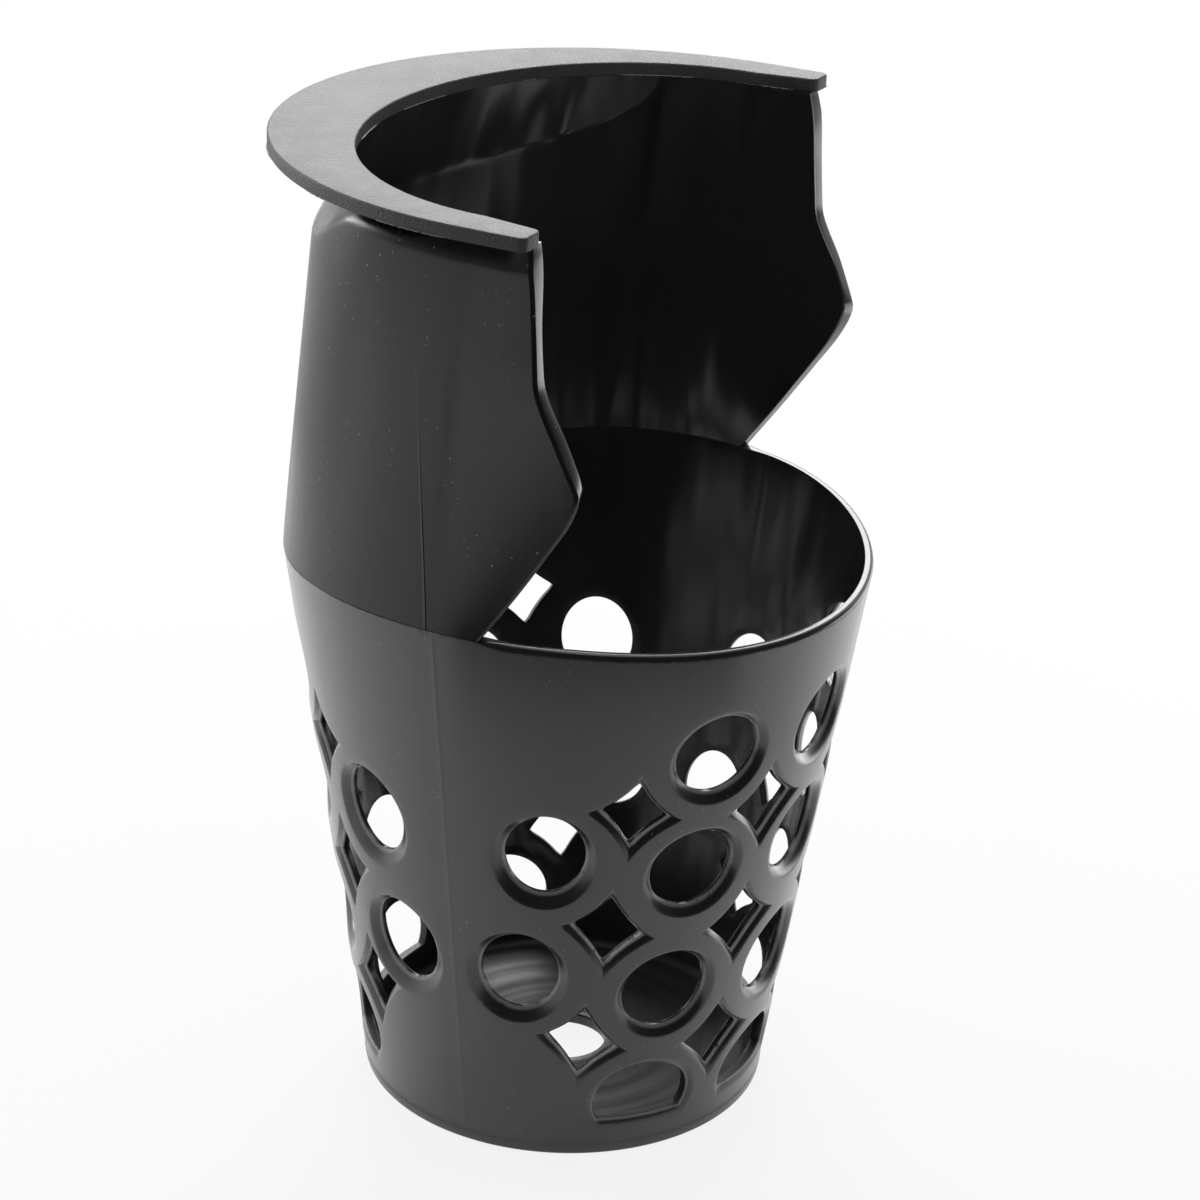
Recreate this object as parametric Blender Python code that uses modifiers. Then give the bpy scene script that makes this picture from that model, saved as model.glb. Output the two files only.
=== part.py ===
# Drop-in cup holder: a perforated round basket, an open-fronted saddle shell
# and the crescent flange that the holder hangs from. Metres, +Z up, mouth towards -Y.
import math

import bmesh
import bpy
import numpy as np
from mathutils import Matrix, Vector

# Moulding
WALL = 0.0020
GAP = 0.0003

# Basket: a cone that widens upwards to the waist
BASE_RADIUS = 0.03185
WAIST_RADIUS = 0.0450
WAIST_HEIGHT = 0.0903
WAIST_BOW = 0.00175          # the rim stands this much higher at the sides, lower front and back
CORNER_RADIUS = 0.0008
INNER_CORNER_RADIUS = 0.0015
DRAIN_RADIUS = 0.0068
LAP_DEPTH = 0.0030
LAP_WALL = 0.00085

# Perforation, laid out flat and rolled onto the cone
COLUMN_PITCH = 0.0237
ROW_HEIGHTS = (0.0707, 0.0508, 0.0287, 0.0084)
HOLE_HEIGHTS = (0.0130, 0.0133, 0.0138, 0.0138)
HOLE_WIDTHS = (0.0150, 0.0142, 0.0124)   # centre column, next, outermost
OUTER_RISE = 0.00095         # the outermost columns stand this much higher than the layout
LEVEL_CUT = 0.0062           # the lowest row is cut off level here
LOW_EXTRA_WIDTH = 0.0018     # and its holes are this much wider

# Star holes between four round ones: half width, half height and shift from the middle of the four
STAR_NEAR = (0.0063, 0.0062, 0.0004, -0.0006)    # beside the centre column
STAR_FAR = (0.0059, 0.0065, 0.0, 0.00045)        # beside the outermost column
STAR_FAR_TOP = (0.0056, 0.0058, 0.0, 0.00045)
STAR_HOLLOW = 0.0005         # how far each side curves in
ROUND_SIDES = 18
STAR_SIDE_STEPS = 3
CUTTER_REACH = 0.0035

# Flange and the neck under it
HEIGHT = 0.1537
FLANGE_THICKNESS = 0.0020
FLANGE_HALF_WIDTH = 0.0492
FLANGE_BACK = 0.0471
FLANGE_CENTRE = -0.0058
FLANGE_END = -0.0146
MOUTH_HALF_WIDTH = 0.0430
MOUTH_BACK = 0.0321
MOUTH_CENTRE = -0.0063
MOUTH_FLARE = 0.164          # the mouth widens by this much for each unit of length forwards
TONGUE_WIDTH = 0.0010
TONGUE_HEIGHT = 0.0010
SHOULDER_SLOPE = 0.5
LEAST_SHOULDER = 0.0002

# Saddle shell: outer outline at its top if it ran straight up past the shoulder
SHELL_HALF_WIDTH = 0.0466
SHELL_BACK = 0.0379
SHELL_FLARE = 0.085
SHELL_FLARE_RISE = 0.3

# Front edge of each wing: height above the base and distance from the cup's axis along Y
WING_EDGE = (
    (0.0920, -0.0073), (0.1000, -0.0130), (0.1075, -0.0180), (0.1135, -0.0218), (0.1160, -0.0230),
    (0.1180, -0.0234), (0.1205, -0.0227), (0.1250, -0.0204), (0.1295, -0.0184), (0.1330, -0.0171),
    (0.1400, -0.0165), (0.1540, -0.0154),
)
WING_LEVELS = (0.0960, 0.1000, 0.1075, 0.1135, 0.1160, 0.1180, 0.1205, 0.1250, 0.1295, 0.1330)

# Colours and roughness
FLANGE_COLOUR = (0.045, 0.043, 0.041)
FLANGE_ROUGHNESS = 0.55
WALL_COLOUR = (0.018, 0.018, 0.019)
SHELL_ROUGHNESS = 0.35
BASKET_ROUGHNESS = 0.42

# Facets
ROUND_STEPS = 72
CORNER_STEPS = 4
SADDLE_STEPS = 28            # over the curved back of the saddle
WING_STEPS = 5               # along each wing
SMOOTH_ANGLE = math.radians(30)
MERGE = 0.000001

# How far the cutters reach past the wall
BRIM_CUT_SIDE = 0.0060
BRIM_CUT_RISE = 0.0100
LAP_CUT_SIDE = 0.0040
LAP_CUT_RISE = 0.0020

# Worked out
NECK_TOP = HEIGHT - FLANGE_THICKNESS
CONE_SLOPE = (WAIST_RADIUS - BASE_RADIUS) / WAIST_HEIGHT
CONE_ANGLE = math.atan(CONE_SLOPE)
APEX = -BASE_RADIUS / CONE_SLOPE
RIM_FRONT = BASE_RADIUS + CONE_SLOPE * (WAIST_HEIGHT - WAIST_BOW)
AXIS_Y = (RIM_FRONT - FLANGE_BACK) / 2   # puts the origin under the middle of the whole outline

PARTS = "drop_in_cup_holder"
CUTTERS = "cutters"


def clear_scene():
    for obj in list(bpy.data.objects):
        bpy.data.objects.remove(obj)


def new_collection(name):
    collection = bpy.data.collections.new(name)
    bpy.context.scene.collection.children.link(collection)
    return collection


def plastic(name, colour, roughness):
    material = bpy.data.materials.new(name)
    material.use_nodes = True
    shader = material.node_tree.nodes["Principled BSDF"]
    shader.inputs["Base Color"].default_value = (*colour, 1.0)
    shader.inputs["Roughness"].default_value = roughness
    shader.inputs["Metallic"].default_value = 0.0
    return material


def add_object(name, mesh, collection, axis, cutter=False):
    obj = bpy.data.objects.new(name, mesh)
    collection.objects.link(obj)
    obj.parent = axis
    if cutter:
        obj.hide_render = True
        obj.display_type = "WIRE"
    return obj


def finish_part(obj, material):
    obj.data.materials.append(material)
    obj.data.shade_smooth()
    obj.data.set_sharp_from_angle(angle=SMOOTH_ANGLE)


def cut(obj, cutter):
    modifier = obj.modifiers.new(cutter.name, "BOOLEAN")
    modifier.operation = "DIFFERENCE"
    modifier.solver = "EXACT"
    modifier.object = cutter


# A loft: one closed section for each station, joined to the next one, with the ends capped
def loft(name, stations, ring=False):
    count, points, _ = stations.shape
    faces = []
    for i in range(count if ring else count - 1):
        here, there = i * points, (i + 1) % count * points
        for j in range(points):
            k = (j + 1) % points
            faces.append((here + j, here + k, there + k, there + j))
    if not ring:
        last = (count - 1) * points
        for j in range(points // 2 - 1):
            a, b, c, d = j, j + 1, points - 2 - j, points - 1 - j
            faces.append((d, c, b, a))
            faces.append((last + a, last + b, last + c, last + d))
    mesh = bpy.data.meshes.new(name)
    mesh.from_pydata(stations.reshape(-1, 3).tolist(), [], faces)
    shape = bmesh.new()
    shape.from_mesh(mesh)
    bmesh.ops.recalc_face_normals(shape, faces=shape.faces[:])
    shape.to_mesh(mesh)
    shape.free()
    return mesh


# Heights and outlines
def cone_radius(z):
    return BASE_RADIUS + CONE_SLOPE * z


def waist_height(x, y):
    turn = np.arctan2(x, -y)
    return WAIST_HEIGHT - WAIST_BOW * np.cos(2 * turn)


def rolled(across, up):
    """Point of the flat hole layout, as angle from the front and height on the cone."""
    reach = math.hypot(across, up)
    turn = math.atan2(across, up) / math.sin(CONE_ANGLE)
    return turn, APEX + reach * math.cos(CONE_ANGLE)


def flat_up(z):
    return (z - APEX) / math.cos(CONE_ANGLE)


def outline(half_width, back, centre, flare, bend, end):
    """U-shaped outline at one level: a half ellipse round the back and a wing on each side.

    bend rounds the wings inwards, as at the waist where the outline is a circle."""
    arc = np.linspace(0, math.pi, SADDLE_STEPS + 1)
    rear = np.column_stack((half_width * np.cos(arc), centre + (back - centre) * np.sin(arc)))
    run = np.linspace(centre - end, 0, WING_STEPS + 1)[:-1]
    side = np.column_stack((half_width + flare * run - bend * run ** 2, centre - run))
    return np.vstack((side, rear, (side * (-1, 1))[::-1]))


def wing_edge(z):
    heights, places = zip(*WING_EDGE)
    return float(np.interp(z, heights, places))


def share_up_shell(z):
    return (z - WAIST_HEIGHT) / (NECK_TOP - WAIST_HEIGHT)


def shell_outline(z, inset):
    """Wall of the saddle shell at a level, below the shoulder."""
    share = share_up_shell(z)
    half_width = WAIST_RADIUS + (SHELL_HALF_WIDTH - WAIST_RADIUS) * share - inset
    back = WAIST_RADIUS + (SHELL_BACK - WAIST_RADIUS) * share - inset
    centre = MOUTH_CENTRE * share
    ease = min(max(share / SHELL_FLARE_RISE, 0), 1)
    flare = SHELL_FLARE * ease * ease * (3 - 2 * ease)
    bend = (1 - share) ** 2 / (2 * WAIST_RADIUS)
    return outline(half_width, back, centre, flare, bend, wing_edge(z))


def neck_outline(outset, z, longer=0):
    """Mouth's edge, or a line round it at a distance outwards."""
    end = wing_edge(z) - longer
    return outline(MOUTH_HALF_WIDTH + outset, MOUTH_BACK + outset, MOUTH_CENTRE, MOUTH_FLARE, 0, end)


def at_level(plan, z):
    return np.column_stack((plan, np.full(len(plan), z)))


def shoulder(outset, inset):
    """Where the sloping shoulder under the neck meets the straight wall, station by station."""
    top, low = NECK_TOP, WING_LEVELS[-1]
    wall_top, wall_low = shell_outline(top, inset), shell_outline(low, inset)
    neck = neck_outline(outset, top)
    middle = (0, MOUTH_CENTRE)
    away = np.linalg.norm(wall_top - middle, axis=1) - np.linalg.norm(neck - middle, axis=1)
    drop = np.maximum(away, LEAST_SHOULDER) / SHOULDER_SLOPE
    blend = (drop / (top - low))[:, None]
    return np.column_stack((wall_top * (1 - blend) + wall_low * blend, top - drop))


def on_basket(turn_points, depth_below, inset):
    """Points on the basket's wall under the shell's lower edge, a distance below the waist."""
    waist = waist_height(turn_points[:, 0], turn_points[:, 1])
    z = waist - depth_below
    direction = turn_points / np.linalg.norm(turn_points, axis=1)[:, None]
    return np.column_stack((direction * (cone_radius(z) - inset)[:, None], z))


# Flange: a flat crescent, grooved underneath for the shell's tongue
def flange_mesh():
    outer = outline(FLANGE_HALF_WIDTH, FLANGE_BACK, FLANGE_CENTRE, 0, 0, FLANGE_END)
    inner = outline(MOUTH_HALF_WIDTH, MOUTH_BACK, MOUTH_CENTRE, MOUTH_FLARE, 0, FLANGE_END)
    loop = np.vstack((outer, inner[::-1]))
    curve = bpy.data.curves.new("flange_outline", "CURVE")
    curve.dimensions = "2D"
    curve.fill_mode = "BOTH"
    curve.extrude = FLANGE_THICKNESS / 2
    spline = curve.splines.new("POLY")
    spline.points.add(len(loop) - 1)
    for point, (x, y) in zip(spline.points, loop):
        point.co = (x, y, 0, 1)
    spline.use_cyclic_u = True
    flat = bpy.data.objects.new("flange_outline", curve)
    bpy.context.scene.collection.objects.link(flat)
    mesh = bpy.data.meshes.new_from_object(flat.evaluated_get(bpy.context.evaluated_depsgraph_get()))
    bpy.data.objects.remove(flat)
    mesh.transform(Matrix.Translation((0, 0, NECK_TOP + FLANGE_THICKNESS / 2)))
    shape = bmesh.new()
    shape.from_mesh(mesh)
    bmesh.ops.remove_doubles(shape, verts=shape.verts[:], dist=MERGE)
    shape.to_mesh(mesh)
    shape.free()
    return mesh


def groove_mesh():
    near = WALL - TONGUE_WIDTH - GAP
    far = WALL + GAP
    roof = NECK_TOP + TONGUE_HEIGHT
    floor = NECK_TOP - WALL
    lines = [at_level(neck_outline(outset, NECK_TOP, 2 * GAP), z) for outset, z in
             ((near, roof), (near, floor), (far, floor), (far, roof))]
    return loft("flange_groove", np.stack(lines, axis=1))


# Saddle shell: wall, shoulder, tongue for the flange above and lap for the basket below
def shell_mesh():
    tongue_top = NECK_TOP + TONGUE_HEIGHT - GAP
    ledge = NECK_TOP - GAP
    foot = shell_outline(WAIST_HEIGHT + GAP, 0)
    waist = waist_height(foot[:, 0], foot[:, 1])
    outer_foot = np.column_stack((foot, waist + GAP))
    inner_plan = shell_outline(WAIST_HEIGHT + GAP, WALL)
    lap = LAP_WALL + GAP
    outside = [
        at_level(neck_outline(WALL, tongue_top), tongue_top),
        at_level(neck_outline(WALL, ledge), ledge),
        at_level(neck_outline(WALL, ledge), ledge - GAP),
        shoulder(WALL, 0),
        *(at_level(shell_outline(z, 0), z) for z in WING_LEVELS[::-1]),
        outer_foot,
        on_basket(foot, -GAP, lap),
        on_basket(foot, LAP_DEPTH - GAP, lap),
    ]
    inside = [
        at_level(neck_outline(WALL - TONGUE_WIDTH, tongue_top), tongue_top),
        at_level(neck_outline(WALL - TONGUE_WIDTH, ledge), ledge),
        at_level(neck_outline(0, ledge), ledge),
        shoulder(0, WALL),
        *(at_level(shell_outline(z, WALL), z) for z in WING_LEVELS[::-1]),
        np.column_stack((inner_plan, waist + 2 * GAP)),
        on_basket(foot, 0, WALL),
        on_basket(foot, LAP_DEPTH - GAP, WALL),
    ]
    return loft("saddle_shell", np.stack(outside + inside[::-1], axis=1))


# Basket: a turned cup with a drain, its rim bowed and rebated, and its wall perforated
def corner(centre_r, centre_z, radius, start, stop):
    for turn in np.linspace(start, stop, CORNER_STEPS + 1):
        yield centre_r + radius * math.cos(turn), centre_z + radius * math.sin(turn)


def basket_mesh():
    brim = WAIST_HEIGHT + WAIST_BOW + GAP
    tilt = CONE_ANGLE
    wall_r = cone_radius(CORNER_RADIUS) - CORNER_RADIUS / math.cos(tilt)
    inner_z = WALL + INNER_CORNER_RADIUS
    inner_r = cone_radius(inner_z) - WALL - INNER_CORNER_RADIUS / math.cos(tilt)
    profile = [(cone_radius(brim), brim)]
    profile += corner(wall_r, CORNER_RADIUS, CORNER_RADIUS, -tilt, -math.pi / 2)
    profile += [(DRAIN_RADIUS, 0), (DRAIN_RADIUS, WALL)]
    profile += corner(inner_r, inner_z, INNER_CORNER_RADIUS, -math.pi / 2, -tilt)
    profile += [(cone_radius(brim) - WALL, brim)]
    count = len(profile)
    mesh = bpy.data.meshes.new("basket")
    mesh.from_pydata([(r, 0, z) for r, z in profile], [(i, (i + 1) % count) for i in range(count)], [])
    turned = bpy.data.objects.new("basket_profile", mesh)
    bpy.context.scene.collection.objects.link(turned)
    screw = turned.modifiers.new("turn", "SCREW")
    screw.steps = ROUND_STEPS
    screw.render_steps = ROUND_STEPS
    screw.use_merge_vertices = True
    screw.merge_threshold = MERGE
    whole = bpy.data.meshes.new_from_object(turned.evaluated_get(bpy.context.evaluated_depsgraph_get()))
    bpy.data.objects.remove(turned)
    return whole


def brim_cutter_mesh():
    turn = np.linspace(0, 2 * math.pi, ROUND_STEPS, endpoint=False)
    x, y = np.sin(turn), -np.cos(turn)
    inner, outer = WAIST_RADIUS - BRIM_CUT_SIDE, WAIST_RADIUS + BRIM_CUT_SIDE
    low = waist_height(x, y)
    top = np.full_like(low, WAIST_HEIGHT + BRIM_CUT_RISE)
    lines = [np.column_stack((x * r, y * r, z)) for r, z in
             ((inner, top), (inner, low), (outer, low), (outer, top))]
    return loft("brim_cutter", np.stack(lines, axis=1), ring=True)


def lap_cutter_mesh():
    end = WING_EDGE[0][1] - 2 * GAP
    foot = outline(WAIST_RADIUS, WAIST_RADIUS, 0, 0, 1 / (2 * WAIST_RADIUS), end)
    lines = [on_basket(foot, -LAP_CUT_RISE, LAP_CUT_SIDE), on_basket(foot, LAP_DEPTH, LAP_CUT_SIDE),
             on_basket(foot, LAP_DEPTH, LAP_WALL), on_basket(foot, -LAP_CUT_RISE, LAP_WALL)]
    return loft("lap_cutter", np.stack(lines, axis=1))


def round_shape(width, height):
    turn = np.linspace(0, 2 * math.pi, ROUND_SIDES, endpoint=False)
    return [(width / 2 * math.cos(t), height / 2 * math.sin(t)) for t in turn]


def cut_round_shape(width, height, level):
    """Round hole cut off by a level line near its middle."""
    low = math.asin(level / (height / 2))
    turn = np.linspace(low, math.pi - low, ROUND_SIDES // 2 + 2)
    return [(width / 2 * math.cos(t), height / 2 * math.sin(t)) for t in turn]


def star_shape(half_width, half_height):
    """Four-cornered hole whose sides are arcs that curve inwards."""
    chord = math.hypot(half_width, half_height)
    radius = (chord ** 2 / 4 + STAR_HOLLOW ** 2) / (2 * STAR_HOLLOW)
    centre_x = half_width / 2 + (radius - STAR_HOLLOW) * half_height / chord
    centre_y = half_height / 2 + (radius - STAR_HOLLOW) * half_width / chord
    start = math.atan2(centre_y, centre_x - half_width)
    stop = math.atan2(centre_y - half_height, centre_x)
    side = []
    for turn in np.linspace(start, stop, STAR_SIDE_STEPS, endpoint=False):
        side.append((centre_x - radius * math.cos(turn), centre_y - radius * math.sin(turn)))
    upper = side + [(0, half_height)] + [(-x, y) for x, y in side[:0:-1]] + [(-half_width, 0)]
    lower = [(-x, -y) for x, y in upper[1:-1]]
    return upper + lower


def perforations():
    """Every hole of one side of the basket: flat place, tilt in the flat layout and shape."""
    ups = [flat_up(z) for z in ROW_HEIGHTS]
    for column in range(-2, 3):
        across = column * COLUMN_PITCH
        width = HOLE_WIDTHS[abs(column)]
        outermost = abs(column) == 2
        for row in (1, 2) if outermost else (0, 1, 2):
            up = ups[row] + OUTER_RISE if outermost else ups[row]
            yield across, up, 0, round_shape(width, HOLE_HEIGHTS[row])
        if not outermost:
            _, z = rolled(across, ups[3])
            shape = cut_round_shape(width + LOW_EXTRA_WIDTH, HOLE_HEIGHTS[3], LEVEL_CUT - z)
            yield across, ups[3], -math.atan2(across, ups[3]), shape
    for gap in (-1.5, -0.5, 0.5, 1.5):
        for row in range(3):
            far = STAR_FAR_TOP if row == 0 else STAR_FAR
            half_width, half_height, outwards, upwards = far if abs(gap) > 1 else STAR_NEAR
            across = gap * COLUMN_PITCH + math.copysign(outwards, gap)
            up = (ups[row] + ups[row + 1]) / 2 + upwards
            yield across, up, 0, star_shape(half_width, half_height)


def perforation_mesh():
    """Prisms square to the wall, one through each hole, front and back."""
    shape = bmesh.new()
    for facing in (0, math.pi):
        for across, up, tilt, points in perforations():
            turn, z = rolled(across, up)
            lean = math.atan2(across, up) + tilt
            heading = turn + facing
            away = Vector((math.sin(heading), -math.cos(heading), 0))
            out = away * math.cos(CONE_ANGLE) - Vector((0, 0, math.sin(CONE_ANGLE)))
            side = Vector((math.cos(heading), math.sin(heading), 0))
            rise = out.cross(side)
            middle = away * (cone_radius(z) - WALL / 2) + Vector((0, 0, z))
            rings = []
            for depth in (-CUTTER_REACH, CUTTER_REACH):
                ring = []
                for x, y in points:
                    flat_x = x * math.cos(lean) - y * math.sin(lean)
                    flat_y = x * math.sin(lean) + y * math.cos(lean)
                    ring.append(shape.verts.new(middle + out * depth + side * flat_x + rise * flat_y))
                rings.append(ring)
            shape.faces.new(rings[0])
            shape.faces.new(rings[1])
            for i in range(len(points)):
                j = (i + 1) % len(points)
                shape.faces.new((rings[0][i], rings[0][j], rings[1][j], rings[1][i]))
    bmesh.ops.recalc_face_normals(shape, faces=shape.faces[:])
    mesh = bpy.data.meshes.new("perforations")
    shape.to_mesh(mesh)
    shape.free()
    return mesh


def main():
    clear_scene()
    parts = new_collection(PARTS)
    cutters = new_collection(CUTTERS)
    axis = bpy.data.objects.new("cup_axis", None)
    axis.location = (0, AXIS_Y, 0)
    parts.objects.link(axis)

    flange = add_object("flange_plate", flange_mesh(), parts, axis)
    cut(flange, add_object("flange_groove", groove_mesh(), cutters, axis, cutter=True))
    finish_part(flange, plastic("flange_black", FLANGE_COLOUR, FLANGE_ROUGHNESS))

    shell = add_object("saddle_shell", shell_mesh(), parts, axis)
    finish_part(shell, plastic("shell_black", WALL_COLOUR, SHELL_ROUGHNESS))

    basket = add_object("basket", basket_mesh(), parts, axis)
    cut(basket, add_object("perforations", perforation_mesh(), cutters, axis, cutter=True))
    cut(basket, add_object("brim_cutter", brim_cutter_mesh(), cutters, axis, cutter=True))
    cut(basket, add_object("lap_cutter", lap_cutter_mesh(), cutters, axis, cutter=True))
    finish_part(basket, plastic("basket_black", WALL_COLOUR, BASKET_ROUGHNESS))


main()
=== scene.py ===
import math

import bmesh
import bpy
import numpy as np
from mathutils import Matrix, Vector
from mathutils.geometry import delaunay_2d_cdt


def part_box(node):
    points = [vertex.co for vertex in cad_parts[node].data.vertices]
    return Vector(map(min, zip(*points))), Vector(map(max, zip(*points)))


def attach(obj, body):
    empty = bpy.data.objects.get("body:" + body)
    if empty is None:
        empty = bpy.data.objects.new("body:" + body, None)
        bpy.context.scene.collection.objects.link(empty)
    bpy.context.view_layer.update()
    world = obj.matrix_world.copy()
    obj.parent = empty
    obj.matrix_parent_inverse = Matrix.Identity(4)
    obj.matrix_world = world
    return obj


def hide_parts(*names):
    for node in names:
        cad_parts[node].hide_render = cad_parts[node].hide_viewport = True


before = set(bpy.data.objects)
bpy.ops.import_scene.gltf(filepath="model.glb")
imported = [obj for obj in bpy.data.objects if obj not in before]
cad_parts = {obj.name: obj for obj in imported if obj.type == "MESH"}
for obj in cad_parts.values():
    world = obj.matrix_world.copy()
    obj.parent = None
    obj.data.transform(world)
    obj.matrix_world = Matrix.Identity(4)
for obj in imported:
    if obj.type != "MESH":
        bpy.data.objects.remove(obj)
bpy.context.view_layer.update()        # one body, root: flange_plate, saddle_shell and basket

basketLow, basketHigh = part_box("basket")
axisY = (basketLow.y + basketHigh.y) / 2     # the cup's axis stands here, at x = 0
print("frame loaded, cup axis at y", round(axisY, 5))


# shader helpers
class Wire:
    # a socket that can be used in plain maths: 1 - mask * 0.5 adds the Math nodes
    def __init__(self, sheet, socket):
        self.sheet = sheet
        self.socket = socket

    def __add__(self, other):
        return self.sheet.maths("ADD", self, other)

    def __sub__(self, other):
        return self.sheet.maths("SUBTRACT", self, other)

    def __rsub__(self, other):
        return self.sheet.maths("SUBTRACT", other, self)

    def __mul__(self, other):
        return self.sheet.maths("MULTIPLY", self, other)

    __radd__ = __add__
    __rmul__ = __mul__

    def ramp(self, low, high, toLow=0.0, toHigh=1.0):
        return self.sheet.node("ShaderNodeMapRange", {"interpolation_type": "SMOOTHSTEP"}, {
            "Value": self, "From Min": low, "From Max": high, "To Min": toLow, "To Max": toHigh})


class Sheet:
    # one node tree, of a material or of the world
    def __init__(self, tree):
        self.tree = tree
        self.tree.nodes.clear()

    def node(self, kind, settings=None, values=None, out=0):
        made = self.tree.nodes.new(kind)
        for name, value in (settings or {}).items():
            setattr(made, name, value)
        for name, value in (values or {}).items():
            self.join(made.inputs[name], value)
        return Wire(self, made.outputs[out]) if made.outputs else None

    def join(self, socket, value):
        if isinstance(value, Wire):
            self.tree.links.new(value.socket, socket)
        else:
            socket.default_value = value

    def maths(self, operation, *terms):
        return self.node("ShaderNodeMath", {"operation": operation}, dict(enumerate(terms)))

    def mixColour(self, share, first, second):
        values = {0: share, 6: first, 7: second}
        return self.node("ShaderNodeMix", {"data_type": "RGBA"}, values, out=2)

    def mark(self, name):
        # a value that the mesh carries at its points
        return self.node("ShaderNodeAttribute", {"attribute_name": name}, out="Fac")

    def place(self, stretch=(1, 1, 1)):
        # object coordinates, squeezed or stretched along each axis
        spot = self.node("ShaderNodeTexCoord", out="Object")
        return self.node("ShaderNodeMapping", values={"Vector": spot, "Scale": stretch})

    def noise(self, where, scale, detail=2.0):
        values = {"Vector": where, "Scale": scale, "Detail": detail}
        return self.node("ShaderNodeTexNoise", values=values)

    def bump(self, height, strength, distance, after=None):
        values = {"Height": height, "Strength": strength, "Distance": distance}
        if after is not None:
            values["Normal"] = after
        return self.node("ShaderNodeBump", values=values)


def newMaterial(name):
    material = bpy.data.materials.new(name)
    material.use_nodes = True
    return material, Sheet(material.node_tree)


# shape helpers, all in metres round the cup's axis
def smoothStep(value, low, high):
    # 0 below low, 1 above high and a smooth cubic between
    share = np.clip((value - low) / (high - low), 0, 1)
    return share * share * (3 - 2 * share)


def curveThrough(knots, values, where):
    # smooth curve through points: between two knots a cubic with the slopes of their neighbours
    knots, values = np.asarray(knots), np.asarray(values)
    slopes = np.gradient(values, knots)
    i = np.clip(np.searchsorted(knots, where) - 1, 0, len(knots) - 2)
    span = knots[i + 1] - knots[i]
    u = np.clip((where - knots[i]) / span, 0, 1)
    return (values[i] * (1 + 2 * u) * (1 - u) ** 2 + values[i + 1] * u * u * (3 - 2 * u)
            + span * (slopes[i] * u * (1 - u) ** 2 - slopes[i + 1] * u * u * (1 - u)))


def gridFaces(rows, columns, wrap=False):
    # the quads of a grid of points numbered row by row; wrap joins the last column to the first
    last = columns if wrap else columns - 1
    row, column = np.meshgrid(np.arange(rows - 1), np.arange(last), indexing="ij")
    here = row * columns + column
    beside = row * columns + (column + 1) % columns
    return np.stack([here, beside, beside + columns, here + columns], -1).reshape(-1, 4)


weld = {"gap": 2e-6, "sliver": 1e-7}     # points this close become one, edges this short go


class Patchwork:
    # collects sheets of points and faces, then welds them into one closed mesh
    def __init__(self):
        self.points = []
        self.faces = []
        self.marks = {"lining": [], "flash": []}     # 1 inside a wall, 1 on ragged moulding flash that is also painted highlight along edges
        self.count = 0

    def add(self, points, faces, **marks):
        points = np.asarray(points, float).reshape(-1, 3)
        self.points.append(points)
        self.faces.extend((np.asarray(faces) + self.count).tolist())
        self.count += len(points)
        for name, values in self.marks.items():
            values.append(np.broadcast_to(np.ravel(marks.get(name, 0.0)), len(points)))

    def addGrid(self, grid, wrap=False, **marks):
        rows, columns, _ = grid.shape
        self.add(grid, gridFaces(rows, columns, wrap), **marks)

    def piece(self, name, material, body, node, sharp):
        mesh = bpy.data.meshes.new(name)
        points = np.vstack(self.points) + (0, axisY, 0)
        mesh.from_pydata(points.tolist(), [], self.faces)
        for mark, values in self.marks.items():
            values = np.concatenate(values).astype(np.float32)
            mesh.attributes.new(mark, "FLOAT", "POINT").data.foreach_set("value", values)
        shape = bmesh.new()
        shape.from_mesh(mesh)
        bmesh.ops.remove_doubles(shape, verts=shape.verts[:], dist=weld["gap"])
        bmesh.ops.dissolve_degenerate(shape, edges=shape.edges[:], dist=weld["sliver"])
        bmesh.ops.recalc_face_normals(shape, faces=shape.faces[:])
        loose = sum(not edge.is_manifold for edge in shape.edges)
        shape.to_mesh(mesh)
        shape.free()
        mesh.shade_smooth()
        mesh.set_sharp_from_angle(angle=math.radians(sharp))
        mesh.materials.append(material)
        made = bpy.data.objects.new(name, mesh)
        bpy.context.scene.collection.objects.link(made)
        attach(made, body)
        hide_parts(node)
        mesh.calc_loop_triangles()
        print(name, len(mesh.loop_triangles), "triangles,", loose, "open edges")


# camera, where the photograph was taken from
view = {
    "focal": 100.281, "sensor": 36.0, "distance": 0.51283, "clipStart": 0.01,
    "elevation": 24.148, "azimuth": -63.478, "roll": 2.109,
    "height": 0.080, "right": 0.003415, "up": -0.000369,     # where it aims
}


def makeCamera():
    # back from the aim along azimuth and elevation, then rolled
    tip, turn, roll = (math.radians(view[k]) for k in ("elevation", "azimuth", "roll"))
    back = Vector((math.sin(turn) * math.cos(tip), -math.cos(turn) * math.cos(tip), math.sin(tip)))
    level = Vector((math.cos(turn), math.sin(turn), 0))
    rise = back.cross(level)
    right = level * math.cos(roll) + rise * math.sin(roll)
    up = rise * math.cos(roll) - level * math.sin(roll)
    aim = Vector((0, axisY, view["height"])) + right * view["right"] + up * view["up"]
    camera = bpy.data.objects.new("camera", bpy.data.cameras.new("camera"))
    camera.data.sensor_width = view["sensor"]
    camera.data.lens = view["focal"]
    camera.data.clip_start = view["clipStart"]
    camera.matrix_world = Matrix.Translation(aim + back * view["distance"]) @ Matrix(
        (right, up, back)).transposed().to_4x4()
    bpy.context.scene.collection.objects.link(camera)
    bpy.context.scene.camera = camera
    return back


towardsCamera = makeCamera()
straightAhead = math.atan2(-towardsCamera.y, -towardsCamera.x)   # turn of the view over the floor
print("camera placed")


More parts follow.
